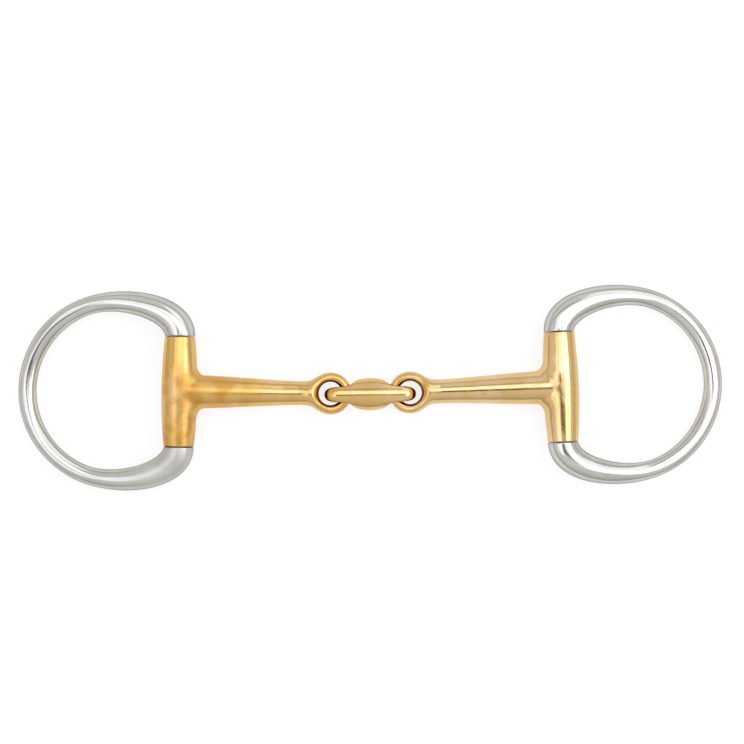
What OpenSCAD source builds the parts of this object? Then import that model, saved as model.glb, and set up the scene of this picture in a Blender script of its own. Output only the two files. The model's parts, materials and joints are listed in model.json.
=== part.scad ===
// Double-jointed eggbutt snaffle bit with an olive centre link, lying loosely on a flat surface.
// +X runs along the mouthpiece, +Y along the butts and +Z up, away from the surface.
// The origin is on the surface, under the middle of the bit.
// Each half is drawn in its own frame: origin at the centre of the butt, +X outward to the ring,
// +Y along the hinge axis. It is then placed at the right, and mirrored for the left.

/* [Mouthpiece] */
// Width between the inner faces of the two butts
mouth_width = 135; // [115:5:150]
// Diameter of a cannon beside its butt
cannon_butt_d = 13.3; // [12.5:0.1:13.5]
// Diameter of a cannon where it is thinnest, beside its eye
cannon_eye_d = 9; // [8.4:0.2:10]

/* [Butts] */
// Length of a butt along its hinge axis
butt_len = 43; // [40:1:48]
// Diameter of a butt at the middle of its length
butt_mid_d = 14; // [13.8:0.1:15]
// Diameter of a butt at each end
butt_end_d = 11.8; // [11.2:0.2:12.4]
// Radius of the corner between a cannon and its butt
butt_fillet = 4; // [3:0.5:5]

/* [Eyes] */
// Diameter of the hole through an eye
eye_hole_d = 8.4; // [8.2:0.1:9.2]
// Thickness of the round rim of an eye
eye_rim_d = 4; // [3.6:0.1:4.2]

/* [Centre link] */
// Length of the link over its two tips
link_len = 36; // [35:0.5:38]
// Width of the link at its middle
link_width = 12.7; // [11:0.1:14]
// Width of the link close to its tips
link_tip_width = 5; // [4.6:0.1:5.4]
// Depth of the link at its middle
link_depth = 10.4; // [10:0.1:12]
// Distance between the two fold axes
fold_spacing = 18.7; // [18.2:0.1:19.2]
// Height of the slot through each end of the link
slot_height = 6; // [5.6:0.1:6.1]
// Distance that a slot is longer than it is high
slot_run = 1.6; // [1:0.1:1.8]

/* [Rings] */
// Diameter of the opening in the round part of a ring
ring_inner_d = 62.8; // [58:1:72]
// Thickness of the round bar
ring_bar_d = 7; // [6:0.5:8]
// Distance from the hinge axis to the centre of the round part
ring_offset = 25; // [22:0.2:27]

/* [Hinge pins] */
// Diameter of a pin
pin_d = 5; // [4:0.5:5]
// Depth that a pin is pressed into the ring's shoulder
pin_seat = 7; // [6:0.5:8]
// Length of a pin that runs in the butt
pin_reach = 12; // [8:1:14]

/* [Lie] */
// Angle that each half lies at, turned about its eye
lie_deg = 1.5; // [0:0.5:3]
// Distance that the link lies off the middle of its eyes, towards -Y
link_slip = 0.3; // [0:0.1:0.5]

/* [Hidden] */
$fn = 64;

steel = [0.80, 0.79, 0.77];
pin_steel = [0.55, 0.56, 0.58];
gold = [0.85, 0.67, 0.33];

// Gap between a butt's end and the ring's face
seam = 0.15;
// Radial clearance of a pin in the butt
pin_clearance = 0.05;
// Depth of a butt's bore past the end of the pin
bore_relief = 0.6;
// Chamfer on a pin's ends
pin_chamfer = 0.4;
// Step by which a lofted shape starts under the round shape that it grows from
tuck = 0.03;

butt_r = butt_mid_d / 2;
butt_end_r = butt_end_d / 2;
butt_x = mouth_width / 2 + butt_r;
seam_y = butt_len / 2 + seam;

rim_r = eye_rim_d / 2;
eye_r = eye_hole_d / 2 + rim_r;
fold_x = fold_spacing / 2;
half_len = butt_x - fold_x;
// The eye's centre, in the half's own frame
eye_x = -half_len + eye_r;

bar_r = ring_bar_d / 2;
ring_r = ring_inner_d / 2 + bar_r;
// Angle from +X at which the round part hands over to a shoulder
handover = 70;
overlap_deg = 2;
// Pulls of the shoulder's curve at the round part and at the seam
shoulder_pull = 0.42 * ring_r;
seam_pull = 0.32 * ring_r;
// Share of the shoulder's length over which it thickens
shoulder_swell = 0.9;

// The bit lies on its butts, its link and the far side of each ring
link_z = link_depth / 2;
cannon_droop = asin((butt_r - link_z) / half_len);
ring_droop = asin((butt_r - bar_r) / (ring_offset + ring_r));
// Keeps the centres of the rings on the X axis
fold_y = -(half_len + ring_offset) * sin(lie_deg);

loft_sides = 28;
loft_steps = 28;

function smooth(t) = t * t * (3 - 2 * t);
function unit(v) = v / norm(v);
function signed_power(v, p) = sign(v) * pow(abs(v), p);

// Closed skin over a list of sections, each a list of the same number of points, which turn
// anticlockwise as seen by someone whom the sections come towards
module skin(sections) {
    n = len(sections[0]);
    last = len(sections) - 1;
    polyhedron(
        points = [for (section = sections) each section],
        faces = concat(
            [[for (i = [0 : n - 1]) i]],
            [for (k = [0 : last - 1]) for (i = [0 : n - 1])
                [k * n + i, (k + 1) * n + i, (k + 1) * n + (i + 1) % n, k * n + (i + 1) % n]],
            [[for (i = [n - 1 : -1 : 0]) last * n + i]]
        ),
        convexity = 6
    );
}

// Oval section across X at a given place: half-width along Y, half-depth along Z
function oval(x, half_w, half_d, power = 2) =
    [for (i = [0 : loft_sides - 1])
        let (a = 360 * i / loft_sides)
        [x, half_w * signed_power(cos(a), 2 / power), half_d * signed_power(sin(a), 2 / power)]];

// ---- Places ----

module at_link() {
    translate([0, fold_y - link_slip, link_z]) children();
}

// Puts a half with its eye hooked on the link's end and its butt on the surface
module at_right() {
    translate([fold_x, fold_y, link_z])
        rotate([0, 0, lie_deg])
            rotate([0, -cannon_droop, 0])
                translate([half_len, 0, 0])
                    children();
}

module at_left() {
    mirror([1, 0, 0]) at_right() children();
}

// Lays a ring and its pins down until the ring's far side rests on the surface
module laid_down() {
    rotate([0, cannon_droop + ring_droop, 0]) children();
}

// ---- Ring ----

// Centre line of the upper shoulder, from the round part at t = 0 to the seam at t = 1
shoulder_start = [ring_offset + ring_r * cos(handover), ring_r * sin(handover)];
shoulder_lean = [-sin(handover), cos(handover)];
shoulder_curve = [
    shoulder_start,
    shoulder_start + shoulder_pull * shoulder_lean,
    [0, seam_y + seam_pull],
    [0, seam_y]
];

function bezier(p, t) =
    pow(1 - t, 3) * p[0] + 3 * pow(1 - t, 2) * t * p[1]
    + 3 * (1 - t) * t * t * p[2] + pow(t, 3) * p[3];

function bezier_heading(p, t) =
    unit(pow(1 - t, 2) * (p[1] - p[0]) + 2 * (1 - t) * t * (p[2] - p[1]) + t * t * (p[3] - p[2]));

// Round section of the shoulder, square to its centre line
function shoulder_section(t) =
    let (
        middle = bezier(shoulder_curve, t),
        heading = bezier_heading(shoulder_curve, t),
        r = bar_r - tuck + (butt_end_r - bar_r + tuck) * smooth(min(1, t / shoulder_swell))
    )
    [for (i = [0 : loft_sides - 1])
        let (a = 360 * i / loft_sides, aside = r * cos(a))
        [middle[0] - heading[1] * aside, middle[1] + heading[0] * aside, r * sin(a)]];

module shoulder() {
    skin([for (k = [0 : loft_steps]) shoulder_section(k / loft_steps)]);
}

module round_part() {
    arc = handover + overlap_deg;
    translate([ring_offset, 0, 0])
        rotate([0, 0, -arc])
            rotate_extrude(angle = 2 * arc)
                translate([ring_r, 0])
                    circle(r = bar_r);
}

module ring_shape() {
    difference() {
        union() {
            round_part();
            shoulder();
            mirror([0, 1, 0]) shoulder();
        }
        for (side = [-1, 1])
            translate([0, side * seam_y, 0])
                rotate([-90 * side, 0, 0])
                    translate([0, 0, -seam])
                        cylinder(d = pin_d, h = pin_seat + seam);
    }
}

// ---- Hinge pin: one end pressed into the ring, the other running in the butt ----

module pin_shape() {
    straight = pin_seat + pin_reach - 2 * pin_chamfer;
    tip_d = pin_d - 2 * pin_chamfer;
    translate([0, seam_y + pin_seat, 0])
        rotate([90, 0, 0]) {
            cylinder(d1 = tip_d, d2 = pin_d, h = pin_chamfer);
            translate([0, 0, pin_chamfer]) cylinder(d = pin_d, h = straight);
            translate([0, 0, pin_chamfer + straight]) cylinder(d1 = pin_d, d2 = tip_d, h = pin_chamfer);
        }
}

// ---- Cannon: butt, tapering bar and eye in one casting ----

module butt() {
    swell = butt_r - butt_end_r;
    arc_r = (pow(butt_len / 2, 2) + swell * swell) / (2 * swell);
    rotate([90, 0, 0])
        rotate_extrude()
            intersection() {
                translate([butt_r - arc_r, 0]) circle(r = arc_r, $fn = 720);
                translate([0, -butt_len / 2]) square([butt_r + 1, butt_len]);
            }
}

thin_r = cannon_eye_d / 2;
thick_r = cannon_butt_d / 2;
// Distance from the eye's centre to where the bar starts to thicken
neck_len = 13;
// Length of the bar that runs into the neck
neck_overlap = 1;
// Share of the bar's taper that eases in and out, the rest being straight
taper_ease = 0.55;
taper_steps = 20;

// The bar's radius from t = 0 at the neck to t = 1 beside the butt
function bar_radius(t) = thin_r + (thick_r - thin_r) * (taper_ease * smooth(t) + (1 - taper_ease) * t);

module bar() {
    thin_end = eye_x + neck_len - neck_overlap;
    taper_start = eye_x + neck_len;
    taper_end = -butt_r - butt_fillet / 2;
    profile = concat(
        [[0, thin_end], [thin_r, thin_end]],
        [for (k = [0 : taper_steps])
            [bar_radius(k / taper_steps), taper_start + (taper_end - taper_start) * k / taper_steps]],
        [[thick_r, 0], [0, 0]]
    );
    rotate([0, 90, 0])
        rotate_extrude() polygon(profile);
}

module eye_rim() {
    translate([eye_x, 0, 0])
        rotate_extrude()
            translate([eye_r, 0])
                circle(r = rim_r);
}

// Neck that spreads sideways and flattens from the bar, t = 0, into the eye, t = 1
module neck() {
    steps = 16;
    bar_end = eye_x + neck_len;
    eye_end = eye_x + eye_r / 2;
    side_reach = eye_r + rim_r / 2;
    eye_half_depth = 1.3 * rim_r;
    skin([for (k = [0 : steps])
        let (t = 1 - k / steps)
        oval(
            bar_end + (eye_end - bar_end) * t,
            thin_r - tuck + (side_reach - thin_r) * pow(t, 4),
            thin_r - tuck + (eye_half_depth - thin_r) * smooth(t)
        )]);
}

// Hole through the neck's end, flared at both mouths
module eye_hole() {
    flare = 3;
    translate([eye_x, 0, 0]) {
        cylinder(d = eye_hole_d, h = 2 * cannon_eye_d, center = true);
        for (side = [0, 1])
            mirror([0, 0, side])
                translate([0, 0, rim_r / 2])
                    cylinder(r1 = eye_hole_d / 2, r2 = eye_hole_d / 2 + flare, h = 2 * flare);
    }
}

// Webs in the two corners between the bar and the butt
module butt_corner() {
    start = -butt_r - butt_fillet;
    steps = 10;
    sweep = 75;
    sections = [for (k = [0 : steps])
        let (a = sweep * k / steps)
        oval(start + butt_fillet * sin(a), thick_r - tuck + butt_fillet * (1 - cos(a)), thick_r - tuck)];
    inside = oval(-butt_r / 2, thick_r + butt_fillet * (1 - cos(sweep)), butt_r / 2);
    skin(concat(sections, [inside]));
}

module cannon_shape() {
    bore_r = pin_d / 2 + pin_clearance;
    bore_depth = pin_reach - seam + bore_relief;
    difference() {
        union() {
            butt();
            bar();
            butt_corner();
            difference() {
                neck();
                eye_hole();
            }
            eye_rim();
        }
        for (side = [-1, 1])
            translate([0, side * (butt_len / 2 - bore_depth), 0])
                rotate([-90 * side, 0, 0])
                    cylinder(r = bore_r, h = bore_depth + 1);
    }
}

// ---- Centre link ----

link_half = link_len / 2;
// Squareness of the link's section at its middle and at its ends, where 2 is an ellipse
link_middle_power = 2.3;
link_end_power = 5;
// Half-length of a slot's straight middle, and how much its mouths widen for each millimetre past that
slot_throat = 1;
slot_flare = 0.38;

// How far a round end has closed in, from 1 where it starts to 0 at the tip
function round_end(x, reach) =
    let (into = max(0, abs(x) - (link_half - reach)) / reach)
    sqrt(max(0, 1 - into * into));

function link_section(x) =
    let (
        middle_share = (cos(180 * x / link_half) + 1) / 2,
        half_w = (link_tip_width + (link_width - link_tip_width) * middle_share) / 2,
        half_d = link_depth / 2 * round_end(x, link_depth / 2),
        power = link_end_power + (link_middle_power - link_end_power) * middle_share
    )
    oval(x, half_w * round_end(x, link_tip_width / 2), half_d, power);

// Round hole across Z with both mouths flared
module flared_hole() {
    slot_r = slot_height / 2;
    mouth = link_width / 2;
    cylinder(r = slot_r, h = link_width, center = true);
    for (side = [0, 1])
        mirror([0, 0, side])
            translate([0, 0, slot_throat])
                cylinder(r1 = slot_r, r2 = slot_r + slot_flare * mouth, h = mouth);
}

// Slot across the link, from the fold axis towards the tip
module slot() {
    rotate([90, 0, 0]) {
        flared_hole();
        translate([slot_run, 0, 0]) flared_hole();
        translate([slot_run / 2, 0, 0]) cube([slot_run, slot_height, link_width], center = true);
    }
}

module link_shape() {
    last_angle = 87;
    steps = 44;
    difference() {
        skin([for (k = [0 : steps]) link_section(link_half * sin(last_angle * (2 * k / steps - 1)))]);
        for (side = [0, 1])
            mirror([side, 0, 0])
                translate([fold_x, 0, 0])
                    slot();
    }
}

// ---- Sub-parts ----

module left_ring() {
    color(steel) at_left() laid_down() ring_shape();
}

module left_upper_pin() {
    color(pin_steel) at_left() laid_down() pin_shape();
}

module left_lower_pin() {
    color(pin_steel) at_left() laid_down() mirror([0, 1, 0]) pin_shape();
}

module left_cannon() {
    color(gold) at_left() cannon_shape();
}

module centre_link() {
    color(gold) at_link() link_shape();
}

module right_cannon() {
    color(gold) at_right() cannon_shape();
}

module right_upper_pin() {
    color(pin_steel) at_right() laid_down() pin_shape();
}

module right_lower_pin() {
    color(pin_steel) at_right() laid_down() mirror([0, 1, 0]) pin_shape();
}

module right_ring() {
    color(steel) at_right() laid_down() ring_shape();
}

left_ring();
left_upper_pin();
left_lower_pin();
left_cannon();
centre_link();
right_cannon();
right_upper_pin();
right_lower_pin();
right_ring();
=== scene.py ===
"""Looks of the snaffle bit: polished steel cheek rings, gold-coloured cannons and centre link.

Every shape is a smooth mesh worked out in millimetres in the frame of the part it belongs to, and is
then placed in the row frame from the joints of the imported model.
"""

import json
import math
from functools import partial

import bpy
import numpy as np
from mathutils import Matrix, Vector


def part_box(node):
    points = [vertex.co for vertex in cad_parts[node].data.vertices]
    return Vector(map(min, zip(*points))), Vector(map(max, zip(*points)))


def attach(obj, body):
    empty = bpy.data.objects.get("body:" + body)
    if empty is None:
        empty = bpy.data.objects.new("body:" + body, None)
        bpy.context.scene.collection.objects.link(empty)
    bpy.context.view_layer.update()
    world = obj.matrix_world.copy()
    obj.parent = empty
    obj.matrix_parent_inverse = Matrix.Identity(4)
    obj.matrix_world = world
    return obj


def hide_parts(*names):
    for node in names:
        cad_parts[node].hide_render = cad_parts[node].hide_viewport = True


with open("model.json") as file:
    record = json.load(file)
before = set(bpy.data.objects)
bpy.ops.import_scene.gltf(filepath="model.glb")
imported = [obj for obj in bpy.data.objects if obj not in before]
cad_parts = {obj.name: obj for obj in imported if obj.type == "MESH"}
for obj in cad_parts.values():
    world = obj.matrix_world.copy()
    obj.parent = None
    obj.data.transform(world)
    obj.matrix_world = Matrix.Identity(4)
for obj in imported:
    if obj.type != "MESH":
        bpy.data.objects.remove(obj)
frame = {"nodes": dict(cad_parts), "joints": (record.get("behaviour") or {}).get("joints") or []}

MM = 0.001

# ---- Driving dimensions, in millimetres ----

BUTT_LEN = 43.0
BUTT_MID_R = 7.0
BUTT_END_R = 5.9
BAR_THICK_R = 6.65
BAR_THIN_R = 4.5
NECK_LEN = 13.0
# Share of the taper over which it eases in and out
TAPER_EASE = 0.35
# Reach of the blend between bar and butt: level with the bar's top, and added at its sides
TEE_BLEND = 1.0
TEE_SIDE_BLEND = 3.3
# Reach of the blend between the eye's rim and the bar
NECK_BLEND = 5.0

EYE_HOLE_R = 4.2
EYE_RIM_R = 2.0
EYE_R = EYE_HOLE_R + EYE_RIM_R
EYE_DEPTH = 4.8
EYE_POWER = 2.3
# Widening of the hole with the square of the height off its middle
HOLE_FLARE = 0.055

LINK_HALF = 18.0
LINK_HALF_W = 6.35
LINK_TIP_HALF_W = 2.5
LINK_HALF_D = 5.2
LINK_END_DEPTH = 0.91
# The link's section: power of the ridge along its top, and how square the section is at the middle,
# how fast it gets squarer as the link narrows, and the most that it reaches
LINK_RIDGE_POWER = 1.6
LINK_MIDDLE_POWER = 2.1
LINK_POWER_RISE = 1.8
LINK_END_POWER = 7.0
SLOT_R = 3.0
SLOT_RUN = 1.6
SLOT_THROAT = 1.0
SLOT_FLARE = 0.15

RING_INNER_R = 31.4
RING_BAR_R = 3.5
RING_R = RING_INNER_R + RING_BAR_R
RING_OFFSET = 25.0
HANDOVER = math.radians(70)
SHOULDER_PULL = 0.42 * RING_R
SEAM_PULL = 0.32 * RING_R
SHOULDER_SWELL = 0.9
SEAM = 0.15

PIN_R = 2.5
PIN_CLEARANCE = 0.05
PIN_SEAT = 7.0
BORE_DEPTH = 12.45

# ---- Places, from the joints ----

joints = {joint["name"]: joint for joint in frame["joints"]}


def joint_place(name):
    return np.array(joints[name]["pos_m"]) / MM


def upright(axis):
    """The hinge axis, turned to point towards +Y."""
    axis = np.array(axis, float)
    return axis / np.linalg.norm(axis) * (1 if axis[1] > 0 else -1)


def frame_matrix(origin, x_axis, y_axis):
    """Row-frame matrix, in millimetres, of a right-handed frame from its X and Y axes."""
    matrix = np.eye(4)
    matrix[:3, 0] = x_axis
    matrix[:3, 1] = y_axis
    matrix[:3, 2] = np.cross(x_axis, y_axis)
    matrix[:3, 3] = origin
    return matrix


def turned_about(axis, angle, vector):
    return np.array(Matrix.Rotation(angle, 3, Vector(axis)) @ Vector(vector))


def half_frames(side):
    """Frames of a half's cannon and ring: origin in the butt, +X outward, +Z up.

    The left is the right turned round, so its +Y is the row's -Y.
    """
    fold = joint_place(side + "_fold")
    butt = joint_place(side + "_ring_swing")
    hinge = upright(joints[side + "_ring_swing"]["axis"]) * (1 if side == "right" else -1)
    outward = butt - fold
    outward -= hinge * outward.dot(hinge)
    length = np.linalg.norm(outward)
    outward /= length
    level = np.array([outward[0], outward[1], 0.0])
    level /= np.linalg.norm(level)
    droop = math.asin((BUTT_MID_R - RING_BAR_R) / (RING_OFFSET + RING_R))
    ring_out = turned_about(hinge, droop, level)
    return frame_matrix(butt, outward, hinge), frame_matrix(butt, ring_out, hinge), length


link_centre = (np.array(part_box("centre_link")[0]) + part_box("centre_link")[1]) / 2 / MM
FOLD_X = abs(joint_place("right_fold")[0] - joint_place("left_fold")[0]) / 2
left_half, left_cheek, _ = half_frames("left")
right_half, right_cheek, HALF_LEN = half_frames("right")
link_frame = frame_matrix(link_centre, [1, 0, 0], [0, 1, 0])
EYE_X = -HALF_LEN + EYE_R
# The bar's taper, from its thin end near the eye to its thick end at the butt, and the bar's own end
TAPER_START = EYE_X + NECK_LEN
TAPER_END = -BUTT_MID_R - 2
BAR_END = EYE_X + 8.6

# ---- Mesh helpers ----


def smooth_step(t):
    t = np.clip(t, 0, 1)
    return t * t * (3 - 2 * t)


def soft_min(a, b, k):
    h = np.maximum(k - np.abs(a - b), 0) / k
    return np.minimum(a, b) - h * h * k / 4


def soft_max(a, b, k):
    return -soft_min(-a, -b, k)


def gradient(field, points, step=0.02):
    slopes = np.empty_like(points)
    for axis in range(3):
        shift = np.zeros(3)
        shift[axis] = step
        slopes[:, axis] = field(points + shift) - field(points - shift)
    return slopes / (2 * step)


def onto_surface(field, points, rounds=4):
    """Moves points along the field's slope until they lie where it is zero."""
    for _ in range(rounds):
        slope = gradient(field, points)
        square = np.maximum((slope * slope).sum(1), 1e-6)
        step = field(points) / square
        points = points - slope * np.clip(step, -1, 1)[:, None]
    return points


def surface_net(field, low, high, cell):
    """Quads over the surface where a field, negative inside, is zero.

    There is one point in each cell that the surface crosses.
    """
    counts = np.ceil((np.array(high) - low) / cell).astype(int) + 1
    axes = [low[i] + cell * np.arange(counts[i]) for i in range(3)]
    grid = np.stack(np.meshgrid(*axes, indexing="ij"), -1)
    values = field(grid.reshape(-1, 3)).reshape(counts)
    inside = values < 0
    corners = [(i, j, k) for i in (0, 1) for j in (0, 1) for k in (0, 1)]
    cells = counts - 1
    held = np.zeros(cells, int)
    for i, j, k in corners:
        held += inside[i : i + cells[0], j : j + cells[1], k : k + cells[2]]
    crossed = (held > 0) & (held < 8)
    index = np.full(cells, -1)
    index[crossed] = np.arange(crossed.sum())
    base = np.argwhere(crossed)
    total = np.zeros((len(base), 3))
    number = np.zeros(len(base))
    for a in corners:
        for axis in range(3):
            if a[axis]:
                continue
            b = list(a)
            b[axis] = 1
            start, end = base + a, base + b
            va, vb = values[tuple(start.T)], values[tuple(end.T)]
            cut = (va < 0) != (vb < 0)
            share = np.where(cut, va / np.where(va == vb, 1, va - vb), 0)
            place = start + share[:, None] * (end - start)
            total += np.where(cut[:, None], place, 0)
            number += cut
    points = low + cell * total / number[:, None]
    quads = []
    for axis in range(3):
        u, v = (axis + 1) % 3, (axis + 2) % 3
        first = [slice(None)] * 3
        second = [slice(None)] * 3
        first[axis], second[axis] = slice(None, -1), slice(1, None)
        change = inside[tuple(first)].astype(int) - inside[tuple(second)]
        edges = np.argwhere(change != 0)
        edges = edges[(edges[:, u] > 0) & (edges[:, v] > 0)]
        edges = edges[(edges[:, u] < cells[u]) & (edges[:, v] < cells[v])]
        sign = change[tuple(edges.T)]
        ring = []
        for du, dv in ((-1, -1), (0, -1), (0, 0), (-1, 0)):
            at = edges.copy()
            at[:, u] += du
            at[:, v] += dv
            ring.append(index[tuple(at.T)])
        ring = np.stack(ring, 1)
        ring[sign < 0] = ring[sign < 0][:, ::-1]
        quads.append(ring)
    return points, np.concatenate(quads)


def relaxed(field, points, quads, rounds):
    """Evens out a surface net's points, keeping them on the surface."""
    pairs = np.concatenate([quads[:, [i, (i + 1) % 4]] for i in range(4)])
    pairs = np.unique(np.sort(pairs, 1), axis=0)
    degree = np.bincount(pairs.ravel(), minlength=len(points))
    for _ in range(rounds):
        total = np.stack(
            [
                np.bincount(pairs[:, 0], points[pairs[:, 1], axis], len(points))
                + np.bincount(pairs[:, 1], points[pairs[:, 0], axis], len(points))
                for axis in range(3)
            ],
            1,
        )
        points = onto_surface(field, (points + total / degree[:, None]) / 2, 1)
    return onto_surface(field, points, 3)


def make_object(name, points, faces, place, normals=None, marks=None):
    """Mesh object from points in a part's own frame, in millimetres.

    The marks are numbers for the material, one for each point.
    """
    world = (points @ place[:3, :3].T + place[:3, 3]) * MM
    mesh = bpy.data.meshes.new(name)
    mesh.from_pydata(world.tolist(), [], [list(map(int, face)) for face in faces])
    mesh.update()
    mesh.shade_smooth()
    if normals is not None:
        turned = normals @ place[:3, :3].T
        mesh.normals_split_custom_set_from_vertices(turned.tolist())
    for mark, values in (marks or {}).items():
        layer = mesh.attributes.new(mark, "FLOAT", "POINT")
        layer.data.foreach_set("value", np.clip(values, 0, 1.5).astype(np.float32))
    item = bpy.data.objects.new(name, mesh)
    bpy.context.scene.collection.objects.link(item)
    return item


# ---- Cannon: butt, tapering bar and eye ----


def butt_field(p):
    around = np.hypot(p[:, 0], p[:, 2])
    swell = (BUTT_MID_R - BUTT_END_R) * (p[:, 1] / (BUTT_LEN / 2)) ** 2
    return soft_max(around - (BUTT_MID_R - swell), np.abs(p[:, 1]) - BUTT_LEN / 2, 0.5)


def bar_field(p):
    along = (p[:, 0] - TAPER_START) / (TAPER_END - TAPER_START)
    along = soft_min(soft_max(along, 0.0, TAPER_EASE), 1.0, TAPER_EASE)
    r = BAR_THIN_R + (BAR_THICK_R - BAR_THIN_R) * along
    around = np.hypot(p[:, 1], p[:, 2])
    return soft_max(around - r, soft_max(BAR_END - p[:, 0], p[:, 0], 2), 3)


def eye_field(p):
    """Rim of the eye: deeper than it is wide, and deepest where it meets the bar."""
    x, y, z = p[:, 0] - EYE_X, p[:, 1], p[:, 2]
    flat = np.hypot(x, y)
    to_bar = smooth_step((x / np.maximum(flat, 1e-6) + 0.9) / 1.9)
    half_depth = EYE_DEPTH / 2 + (BAR_THIN_R - 0.7 - EYE_DEPTH / 2) * to_bar
    radial = np.abs(flat - EYE_R) / EYE_RIM_R
    size = (radial**EYE_POWER + np.abs(z / half_depth) ** EYE_POWER) ** (1 / EYE_POWER)
    return (size - 1) * EYE_RIM_R


def eye_hole_field(p):
    x, y, z = p[:, 0] - EYE_X, p[:, 1], p[:, 2]
    mouth = EYE_HOLE_R + HOLE_FLARE * z * z
    return np.hypot(x, y) - mouth


def pin_bore_field(p):
    around = np.hypot(p[:, 0], p[:, 2])
    return np.maximum(around - (PIN_R + PIN_CLEARANCE), BUTT_LEN / 2 - BORE_DEPTH - np.abs(p[:, 1]))


# Height of the unevenness that hand polishing leaves, and length of its patches
CANNON_UNEVEN = 0.022
LINK_UNEVEN = 0.004
FINISH_LEN = 9.0


def hand_finish(p, size, length, turn):
    """Slight unevenness left by hand polishing, in patches of about the given length."""
    wave = 2 * np.pi / length
    total = np.zeros(len(p))
    for i in range(5):
        angle = turn + 1.9 * i
        heading = np.array([math.cos(angle), math.sin(angle), math.cos(2.3 * angle)])
        total += np.sin(p @ heading * wave * (0.7 + 0.17 * i) + 2.4 * i + turn)
    return total * size / 3


def cannon_field(p, turn):
    to_side = smooth_step((np.abs(p[:, 1]) - 1.5) / 7.5)
    body = soft_min(butt_field(p), bar_field(p), TEE_BLEND + TEE_SIDE_BLEND * to_side)
    to_neck = smooth_step((p[:, 0] - EYE_X - 0.5) / 4)
    body = soft_min(body, eye_field(p), NECK_BLEND * to_neck + 0.01)
    body = soft_max(body, -eye_hole_field(p), 1.2)
    body = body + hand_finish(p, CANNON_UNEVEN, FINISH_LEN, turn)
    return np.maximum(body, -pin_bore_field(p))


def cannon_marks(p, dull):
    """Where a cannon gets painted shade on its eye hole's wall and a darker line round its butt ends, and
    where it is satin.

    Where it is dull, it is satin round the T and over half of its butt, up to the given share.
    """
    from_eye = np.hypot(p[:, 0] - EYE_X, p[:, 1])
    # painted shade on the wall of the eye hole, where shade falls inside it
    hole_wall_shade = smooth_step((EYE_HOLE_R + 1.5 - from_eye) / 0.9)
    # darker line round each butt end, where the ring meets it
    seam_edge = smooth_step((np.abs(p[:, 1]) - BUTT_LEN / 2 + 0.35) / 0.3) * (p[:, 0] > -BUTT_MID_R)
    near_tee = (0.3 + 1.2 * dull) * smooth_step(1.25 - np.hypot(p[:, 0] + 8, p[:, 1] * 2.2) / 26)
    near_eye = smooth_step((13 - from_eye) / 6)
    dull_half = dull * smooth_step((p[:, 1] - 1) / 7) * smooth_step((p[:, 0] + 12) / 4)
    satin = np.maximum(0.7 * np.maximum(near_tee, near_eye), dull_half)
    return {"painted_shade_and_seam_line": np.maximum(hole_wall_shade, seam_edge), "satin": satin}


# ---- Centre link ----


def round_end(x, reach):
    into = np.clip((np.abs(x) - (LINK_HALF - reach)) / reach, 0, 0.9995)
    return np.sqrt(1 - into * into)


def link_body_field(p):
    middle_share = (np.cos(np.pi * np.clip(p[:, 0] / LINK_HALF, -1, 1)) + 1) / 2
    half_w = LINK_TIP_HALF_W + (LINK_HALF_W - LINK_TIP_HALF_W) * middle_share
    half_w = half_w * round_end(p[:, 0], LINK_TIP_HALF_W)
    half_d = LINK_HALF_D * (LINK_END_DEPTH + (1 - LINK_END_DEPTH) * middle_share)
    half_d = half_d * round_end(p[:, 0], LINK_HALF_D)
    power = LINK_MIDDLE_POWER * (LINK_HALF_W / np.maximum(half_w, LINK_TIP_HALF_W)) ** LINK_POWER_RISE
    power = np.minimum(power, LINK_END_POWER)
    full = np.abs(p[:, 1] / half_w) ** LINK_RIDGE_POWER + np.abs(p[:, 2] / half_d) ** power
    size = np.maximum(full, 1e-9) ** (1 / power)
    return np.maximum((size - 1) * half_w, np.abs(p[:, 0]) - LINK_HALF)


def slot_field(p):
    """Slot across the link, its mouths flared."""
    along = np.abs(p[:, 0]) - FOLD_X
    past = along - np.clip(along, 0, SLOT_RUN)
    flare = SLOT_FLARE * soft_max(np.abs(p[:, 1]) - SLOT_THROAT, 0 * past, 1.2)
    return (np.hypot(past, p[:, 2]) - SLOT_R - flare) / math.hypot(1, SLOT_FLARE)


def link_field(p):
    return soft_max(link_body_field(p), -slot_field(p), 0.7) + hand_finish(p, LINK_UNEVEN, FINISH_LEN, 0.7)


def link_marks(p):
    """Painted shade on the slots' walls, on the steep round of each tip and on the sides of the ends at
    mid-height.
    """
    slot_wall_shade = smooth_step((1.0 - slot_field(p)) / 0.8)
    tip = smooth_step((np.abs(p[:, 0]) - LINK_HALF + 1.9) / 1.3)
    side = smooth_step((np.abs(p[:, 0]) - FOLD_X - 1) / 2) * smooth_step((2.6 - np.abs(p[:, 2])) / 1.2)
    # all three are painted shade, handed to the material as one mark
    return {"painted_shade_and_seam_line": np.maximum(np.maximum(slot_wall_shade, tip), side), "satin": 0 * tip}


def solid(name, field, marks, low, high, cell, place, rounds=6):
    low = np.array(low, float)
    points, quads = surface_net(field, low, high, cell)
    points = relaxed(field, onto_surface(field, points), quads, rounds)
    slope = gradient(field, points)
    normals = slope / np.linalg.norm(slope, axis=1)[:, None]
    return make_object(name, points, quads, place, normals, marks(points))


# ---- Ring ----


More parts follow.
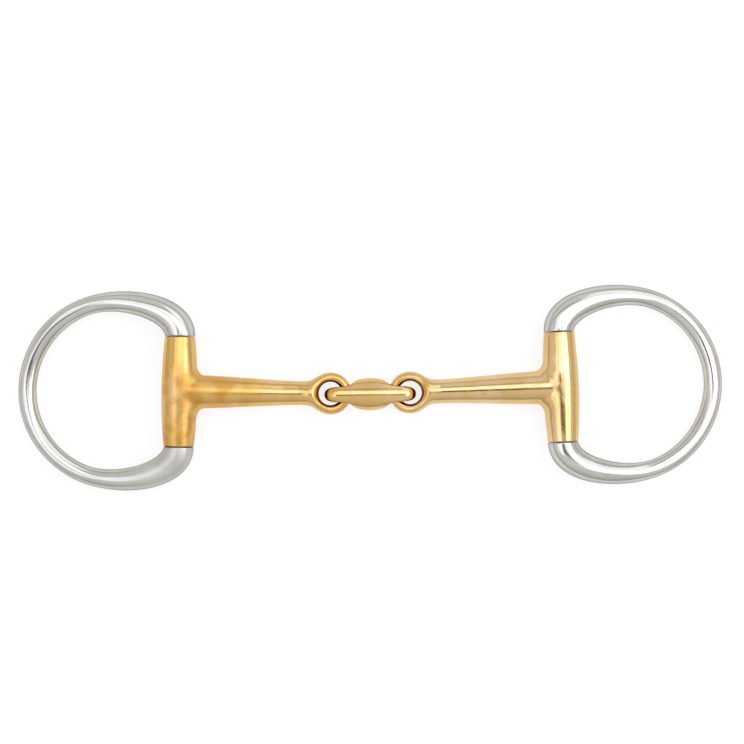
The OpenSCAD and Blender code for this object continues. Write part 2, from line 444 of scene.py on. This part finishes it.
def shoulder_line(t):
    """Centre line and heading of the upper shoulder, from the round part at 0 to the seam at 1."""
    start = np.array([RING_OFFSET + RING_R * math.cos(HANDOVER), RING_R * math.sin(HANDOVER)])
    lean = np.array([-math.sin(HANDOVER), math.cos(HANDOVER)])
    seam_y = BUTT_LEN / 2 + SEAM
    p = [start, start + SHOULDER_PULL * lean, np.array([0, seam_y + SEAM_PULL]), np.array([0, seam_y])]
    t = np.asarray(t, float)[:, None]
    place = (1 - t) ** 3 * p[0] + 3 * (1 - t) ** 2 * t * p[1] + 3 * (1 - t) * t**2 * p[2] + t**3 * p[3]
    heading = (1 - t) ** 2 * (p[1] - p[0]) + 2 * (1 - t) * t * (p[2] - p[1]) + t**2 * (p[3] - p[2])
    return place, heading / np.linalg.norm(heading, axis=1)[:, None]


def ring_points():
    """Centre, heading and radius at each section of the ring, from the lower seam round to the upper."""
    shoulder_t = np.linspace(0, 1, 91)
    place, heading = shoulder_line(shoulder_t)
    radius = RING_BAR_R + (BUTT_END_R - RING_BAR_R) * smooth_step(shoulder_t / SHOULDER_SWELL)
    angle = np.linspace(-HANDOVER, HANDOVER, 141)[1:-1]
    round_place = np.stack([RING_OFFSET + RING_R * np.cos(angle), RING_R * np.sin(angle)], 1)
    round_heading = np.stack([-np.sin(angle), np.cos(angle)], 1)
    lower_place = place[::-1] * [1, -1]
    lower_heading = heading[::-1] * [-1, 1]
    return (
        np.concatenate([lower_place, round_place, place]),
        np.concatenate([lower_heading, round_heading, heading]),
        np.concatenate([radius[::-1], np.full(len(angle), RING_BAR_R), radius]),
    )


RING_SIDES = 64
# Hand-polished unevenness of the bar: lobes round it, size, length along it in which they go
# round, and start
RING_WAVES = ((3, 0.045, 61.0, 0.4), (4, -0.035, -37.0, 1.9), (5, 0.014, 23.0, 0.0), (2, 0.05, 90.0, 2.2))


def make_ring(name, place, satin):
    centres, headings, radii = ring_points()
    turn = np.linspace(0, 2 * np.pi, RING_SIDES, endpoint=False)
    aside, above = np.cos(turn), np.sin(turn)
    sections = []

    def add(centre, heading, radius, uneven=0):
        across = np.array([-heading[1], heading[0]])
        reach = radius + uneven
        flat = centre + (reach * aside)[:, None] * across
        sections.append(np.column_stack([flat, reach * above]))

    def end_sections(centre, heading, radius):
        """From the middle of the pin's socket out to the edge of the ring's face."""
        rows = []
        corner = 0.3
        rows.append((PIN_SEAT, 0.02))
        rows += [(PIN_SEAT, PIN_R * share) for share in (0.5, 0.95)]
        rows += [(PIN_SEAT * share, PIN_R) for share in (0.98, 0.7, 0.4, 0.1)]
        rows += [(0.06, PIN_R + 0.02), (0, PIN_R + 0.1)]
        rows += [(0, PIN_R + (radius - corner - PIN_R) * share) for share in (0.3, 0.7, 0.97)]
        for step in range(7):
            a = math.pi / 2 * step / 6
            rows.append((corner * (1 - math.cos(a)), radius - corner * (1 - math.sin(a))))
        for depth, r in rows:
            add(centre - heading * depth, heading, r)

    end_sections(centres[0], -headings[0], radii[0])
    first = len(sections)
    # the end sections run the other way round, so they are mirrored to line up
    for i in range(first):
        sections[i] = sections[i][(-np.arange(RING_SIDES) + RING_SIDES // 2) % RING_SIDES]
    along = np.concatenate([[0], np.cumsum(np.linalg.norm(np.diff(centres, axis=0), axis=1))])
    for k in range(1, len(centres) - 1):
        uneven = 0
        fade = smooth_step(min(along[k], along[-1] - along[k]) / 6)
        for lobes, size, length, start in RING_WAVES:
            drift = start + 2 * np.pi * along[k] / length
            uneven = uneven + size * fade * np.cos(lobes * turn + drift)
        add(centres[k], headings[k], radii[k], uneven)
    middle = len(sections)
    end_sections(centres[-1], headings[-1], radii[-1])
    sections[middle:] = sections[middle:][::-1]
    points = np.concatenate(sections)
    rows = len(sections)
    i = np.arange(RING_SIDES)
    j = (i + 1) % RING_SIDES
    faces = []
    for row in range(rows - 1):
        a, b = row * RING_SIDES, (row + 1) * RING_SIDES
        faces += np.stack([a + i, a + j, b + j, b + i], 1).tolist()
    faces.append(i[::-1].tolist())
    faces.append(((rows - 1) * RING_SIDES + i).tolist())
    shoulder = smooth_step((points[:, 1] - 12) / 12) * smooth_step((34 - points[:, 0]) / 30)
    # darker line on the ring's end where it meets the cannon
    seam_edge = smooth_step((BUTT_LEN / 2 + SEAM + 0.2 - np.abs(points[:, 1])) / 0.2)
    seam_edge *= points[:, 0] < RING_OFFSET / 2
    return make_object(name, points, faces, place, None, {"painted_shade_and_seam_line": seam_edge, "satin": satin * shoulder})


# ---- Materials ----


def node_tree(owner):
    owner.use_nodes = True
    owner.node_tree.nodes.clear()
    return owner.node_tree


def feed(tree, socket, value):
    """Sets a socket to a plain value, or links another socket to it."""
    if isinstance(value, bpy.types.NodeSocket):
        tree.links.new(value, socket)
    else:
        socket.default_value = value


def maths(tree, operation, a, b=0.0):
    node = tree.nodes.new("ShaderNodeMath")
    node.operation = operation
    feed(tree, node.inputs[0], a)
    feed(tree, node.inputs[1], b)
    return node.outputs[0]


def ramp(tree, value, low, high, to_low=0.0, to_high=1.0):
    """Smooth step from one number to another while the value goes from low to high."""
    node = tree.nodes.new("ShaderNodeMapRange")
    node.interpolation_type = "SMOOTHSTEP"
    for place, number in enumerate((value, low, high, to_low, to_high)):
        feed(tree, node.inputs[place], number)
    return node.outputs[0]


def mix_color(tree, share, a, b):
    node = tree.nodes.new("ShaderNodeMix")
    node.data_type = "RGBA"
    feed(tree, node.inputs[0], share)
    for socket, color in ((node.inputs[6], a), (node.inputs[7], b)):
        feed(tree, socket, color if isinstance(color, bpy.types.NodeSocket) else (*color, 1))
    return node.outputs[2]


def object_place(tree, stretch=(1, 1, 1)):
    coordinates = tree.nodes.new("ShaderNodeTexCoord")
    mapping = tree.nodes.new("ShaderNodeMapping")
    mapping.inputs["Scale"].default_value = stretch
    tree.links.new(coordinates.outputs["Object"], mapping.inputs["Vector"])
    return mapping.outputs[0]


def noise(tree, place, scale, detail=3.0, roughness=0.5):
    node = tree.nodes.new("ShaderNodeTexNoise")
    node.inputs["Scale"].default_value = scale
    node.inputs["Detail"].default_value = detail
    node.inputs["Roughness"].default_value = roughness
    tree.links.new(place, node.inputs["Vector"])
    return node.outputs[0]


def mark(tree, name):
    node = tree.nodes.new("ShaderNodeAttribute")
    node.attribute_name = name
    return node.outputs["Fac"]


def bump(tree, height, distance, below=None):
    node = tree.nodes.new("ShaderNodeBump")
    node.inputs["Distance"].default_value = distance
    tree.links.new(height, node.inputs["Height"])
    if below is not None:
        tree.links.new(below, node.inputs["Normal"])
    return node.outputs[0]


def metal(name, coat, coat_roughness, edge_tint=(1, 1, 1)):
    """Material with a metallic shader that feeds its output."""
    material = bpy.data.materials.new(name)
    tree = node_tree(material)
    shader = tree.nodes.new("ShaderNodeBsdfPrincipled")
    shader.inputs["Metallic"].default_value = 1
    shader.inputs["Specular Tint"].default_value = (*edge_tint, 1)
    shader.inputs["Coat Weight"].default_value = coat
    shader.inputs["Coat Roughness"].default_value = coat_roughness
    output = tree.nodes.new("ShaderNodeOutputMaterial")
    tree.links.new(shader.outputs[0], output.inputs[0])
    return material, tree, shader


def fine_scratches(tree, scale):
    """Hairline marks in two directions, from 0 to 1."""
    first = noise(tree, object_place(tree, (1, 14, 4)), scale, 2)
    second = noise(tree, object_place(tree, (11, 1.5, 5)), scale * 0.8, 2)
    return maths(tree, "MULTIPLY", first, second)


def steel_material():
    material, tree, shader = metal("polished_steel", 0.0, 0.1, (0.42, 0.42, 0.40))
    place = object_place(tree)
    cloud = noise(tree, place, 90)
    tone = mix_color(tree, ramp(tree, cloud, 0.35, 0.65), (0.540, 0.532, 0.490), (0.600, 0.592, 0.550))
    speck = ramp(tree, noise(tree, place, 1500, 2), 0.66, 0.74, 0.0, 0.35)
    tone = mix_color(tree, speck, tone, (0.40, 0.385, 0.36))
    # near-black where the ring's end meets the cannon (the darker seam line)
    tone = mix_color(tree, mark(tree, "painted_shade_and_seam_line"), tone, (0.09, 0.07, 0.05))
    feed(tree, shader.inputs["Base Color"], tone)
    rough = ramp(tree, noise(tree, place, 160), 0.35, 0.7, 0.05, 0.10)
    rough = maths(tree, "ADD", rough, maths(tree, "MULTIPLY", mark(tree, "satin"), 0.3))
    scratches = fine_scratches(tree, 900)
    rough = maths(tree, "ADD", rough, ramp(tree, scratches, 0.3, 0.45, 0.0, 0.1))
    feed(tree, shader.inputs["Roughness"], rough)
    feed(tree, shader.inputs["Normal"], bump(tree, scratches, 0.000012))
    return material


def gold_material():
    material, tree, shader = metal("gold_alloy", 0.25, 0.08, (0.95, 0.85, 0.7))
    place = object_place(tree)
    axes = tree.nodes.new("ShaderNodeSeparateXYZ")
    tree.links.new(place, axes.inputs[0])
    cloud = ramp(tree, noise(tree, place, 70), 0.35, 0.7, -0.2, 0.3)
    pale = maths(tree, "ADD", ramp(tree, axes.outputs[0], -0.06, 0.05, 0.1, 0.7), cloud)
    tone = mix_color(tree, pale, (0.690, 0.415, 0.115), (0.750, 0.545, 0.290))
    tarnish = ramp(tree, noise(tree, place, 260, 4), 0.55, 0.75, 0.0, 0.28)
    tone = mix_color(tree, tarnish, tone, (0.50, 0.27, 0.07))
    patina = ramp(tree, noise(tree, place, 150, 3), 0.42, 0.6, 0.0, 0.65)
    patina = maths(tree, "MULTIPLY", patina, mark(tree, "satin"))
    tone = mix_color(tree, patina, tone, (0.58, 0.29, 0.05))
    # dark brown painted shade in the eye holes, slots and on the link's tips and sides, and the darker
    # seam line at the butt ends
    tone = mix_color(tree, mark(tree, "painted_shade_and_seam_line"), tone, (0.27, 0.125, 0.055))
    feed(tree, shader.inputs["Base Color"], tone)
    rough = ramp(tree, noise(tree, place, 130), 0.35, 0.7, 0.06, 0.13)
    rough = maths(tree, "ADD", rough, maths(tree, "MULTIPLY", mark(tree, "satin"), 0.22))
    scratches = fine_scratches(tree, 800)
    rough = maths(tree, "ADD", rough, ramp(tree, scratches, 0.3, 0.45, 0.0, 0.1))
    feed(tree, shader.inputs["Roughness"], rough)
    grain = bump(tree, noise(tree, place, 500, 3), 0.00001)
    feed(tree, shader.inputs["Normal"], bump(tree, scratches, 0.000014, grain))
    return material


def pin_material():
    material, tree, shader = metal("ground_steel", 0.0, 0.1)
    rings = noise(tree, object_place(tree, (1, 60, 1)), 120, 2)
    feed(tree, shader.inputs["Base Color"], mix_color(tree, rings, (0.38, 0.38, 0.39), (0.52, 0.52, 0.53)))
    feed(tree, shader.inputs["Roughness"], ramp(tree, rings, 0.3, 0.7, 0.25, 0.4))
    feed(tree, shader.inputs["Normal"], bump(tree, rings, 0.00001))
    return material


steel = steel_material()
gold = gold_material()
pin_steel = pin_material()

# ---- Camera ----

# Width of the floor that the view takes in
VIEW_WIDTH = 290.625 * MM
VIEW_CENTRE = (0.0008, 0.0060)
# The camera's distance is measured from this height
FOCUS_HEIGHT = 0.006
VIEW_TURN = math.radians(-0.73)
LENS = 100.0
SENSOR = 36.0
camera_data = bpy.data.cameras.new("camera")
camera_data.lens = LENS
camera_data.sensor_width = SENSOR
camera = bpy.data.objects.new("camera", camera_data)
bpy.context.scene.collection.objects.link(camera)
bpy.context.scene.camera = camera
camera.location = (*VIEW_CENTRE, LENS / SENSOR * VIEW_WIDTH + FOCUS_HEIGHT)
camera.rotation_euler = (0, 0, VIEW_TURN)

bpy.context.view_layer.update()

# ---- Pieces ----

# Room round a solid for its surface net, and the size of the net's cells
MARGIN = 0.9
LINK_MARGIN = 0.7
CANNON_CELL = 0.4
LINK_CELL = 0.28
# The left half is the duller one: how satin it is, and where its polish waves start
HALVES = (("left", left_half, left_cheek, 1.2, 0.3), ("right", right_half, right_cheek, 0.0, 2.1))

half_low = (-HALF_LEN - EYE_RIM_R - 1.2, -BUTT_LEN / 2 - MARGIN, -BUTT_MID_R - MARGIN)
half_high = (BUTT_MID_R + MARGIN, BUTT_LEN / 2 + MARGIN, BUTT_MID_R + MARGIN)
for side, half, cheek, dull, turn in HALVES:
    field = partial(cannon_field, turn=turn)
    marks = partial(cannon_marks, dull=dull)
    cannon = solid(side + "_cannon_surface", field, marks, half_low, half_high, CANNON_CELL, half)
    cannon.data.materials.append(gold)
    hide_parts(side + "_cannon")
    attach(cannon, side + "_half")
    ring = make_ring(side + "_ring_surface", cheek, dull)
    ring.data.materials.append(steel)
    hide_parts(side + "_ring")
    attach(ring, side + "_cheek")
    for level in ("upper", "lower"):
        pin = frame["nodes"][side + "_" + level + "_pin"]
        pin.data.materials.clear()
        pin.data.materials.append(pin_steel)

link = solid(
    "centre_link_surface",
    link_field,
    link_marks,
    (-LINK_HALF - LINK_MARGIN, -LINK_HALF_W - LINK_MARGIN, -LINK_HALF_D - LINK_MARGIN),
    (LINK_HALF + LINK_MARGIN, LINK_HALF_W + LINK_MARGIN, LINK_HALF_D + LINK_MARGIN),
    LINK_CELL,
    link_frame,
)
link.data.materials.append(gold)
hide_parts("centre_link")
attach(link, "link")

# ---- Floor and light ----

FLOOR_REACH = 2.5
FLOOR_TONE = 0.22
FLOOR_GLOW = 0.80
TENT_LEVEL = 0.90
# Bright and dark panels, in degrees: X from and to, Y from and to, softness of the edges, level
PANELS = (
    (10, 56, 32, 62, 5, 1.6),
    (-31, 26, 3.5, 27, 2, 2.0),
    (-31, -10, 3.5, 27, 2, 1.5),
    (-48, -18, -22, 4, 2.5, 1.8),
    (-9, 9, -4.5, 4, 1.5, 2.1),
    (26, 52, -8, 28, 3, 1.9),
    (-70, 6, 34.5, 39.5, 1.5, 0.35),
    (-42.5, -38, -30, 34, 1.2, 0.85),
    (-12, 22, -12, -4.5, 1.2, 0.30),
    (-9, 1, -10, 2.5, 1.2, 0.12),
    (-1, 6.6, -9.5, -1.5, 1.0, 0.16),
)
# Tint of the bright panels
PANEL_TINT = (0.99, 1.0, 1.12)
SIDE_LIGHT_LEVEL = 1.4
SIDE_LIGHT_SIZE = (0.30, 0.24)
SIDE_LIGHT_PLACE = (0.32, -0.02, 0.30)


def make_floor():
    material = bpy.data.materials.new("floor")
    tree = node_tree(material)
    shader = tree.nodes.new("ShaderNodeBsdfPrincipled")
    shader.inputs["Roughness"].default_value = 1
    shader.inputs["Specular IOR Level"].default_value = 0
    shader.inputs["Base Color"].default_value = (FLOOR_TONE, FLOOR_TONE, FLOOR_TONE, 1)
    shader.inputs["Emission Color"].default_value = (1, 1, 1, 1)
    shader.inputs["Emission Strength"].default_value = FLOOR_GLOW
    output = tree.nodes.new("ShaderNodeOutputMaterial")
    tree.links.new(shader.outputs[0], output.inputs[0])
    mesh = bpy.data.meshes.new("floor")
    corners = [(x * FLOOR_REACH, y * FLOOR_REACH, 0) for x, y in ((-1, -1), (1, -1), (1, 1), (-1, 1))]
    mesh.from_pydata(corners, [], [(0, 1, 2, 3)])
    mesh.materials.append(material)
    floor = bpy.data.objects.new("floor", mesh)
    bpy.context.scene.collection.objects.link(floor)


def make_studio():
    """White tent with panels overhead, placed in degrees from straight up towards +X and +Y."""
    world = bpy.data.worlds.new("studio")
    bpy.context.scene.world = world
    tree = node_tree(world)
    direction = tree.nodes.new("ShaderNodeTexCoord").outputs["Generated"]
    axes = tree.nodes.new("ShaderNodeSeparateXYZ")
    tree.links.new(direction, axes.inputs[0])
    to_x, to_y = (
        maths(tree, "MULTIPLY", maths(tree, "ARCTAN2", axes.outputs[i], axes.outputs[2]), math.degrees(1))
        for i in (0, 1)
    )

    def panel(x_from, x_to, y_from, y_to, soft):
        sides = [
            ramp(tree, to_x, x_from - soft, x_from + soft),
            ramp(tree, to_x, x_to + soft, x_to - soft),
            ramp(tree, to_y, y_from - soft, y_from + soft),
            ramp(tree, to_y, y_to + soft, y_to - soft),
        ]
        share = sides[0]
        for side in sides[1:]:
            share = maths(tree, "MULTIPLY", share, side)
        return share

    def toned(light, share, level):
        """The light, turned to a level where the share is 1."""
        change = maths(tree, "MULTIPLY", share, maths(tree, "SUBTRACT", level, light))
        return maths(tree, "ADD", light, change)

    steep = maths(tree, "MULTIPLY", ramp(tree, axes.outputs[2], 0.02, 0.42, 0.72, 1.0), TENT_LEVEL)
    light = maths(tree, "MULTIPLY", ramp(tree, to_y, -80, -30, 0.78, 1.0), steep)
    for x_from, x_to, y_from, y_to, soft, level in PANELS:
        light = toned(light, panel(x_from, x_to, y_from, y_to, soft), level)
    background = tree.nodes.new("ShaderNodeBackground")
    tint = mix_color(tree, ramp(tree, light, 1.0, 1.9), (1, 1, 1), PANEL_TINT)
    feed(tree, background.inputs["Color"], tint)
    feed(tree, background.inputs["Strength"], light)
    output = tree.nodes.new("ShaderNodeOutputWorld")
    tree.links.new(background.outputs[0], output.inputs[0])


def make_side_light():
    """Large soft light close to the right-hand ring."""
    data = bpy.data.lights.new("side_light", "AREA")
    data.shape = "RECTANGLE"
    data.size, data.size_y = SIDE_LIGHT_SIZE
    data.energy = SIDE_LIGHT_LEVEL * math.pi * data.size * data.size_y
    light = bpy.data.objects.new("side_light", data)
    light.location = SIDE_LIGHT_PLACE
    light.visible_camera = False
    bpy.context.scene.collection.objects.link(light)


make_floor()
make_studio()
make_side_light()
bpy.context.scene.view_settings.view_transform = "Standard"
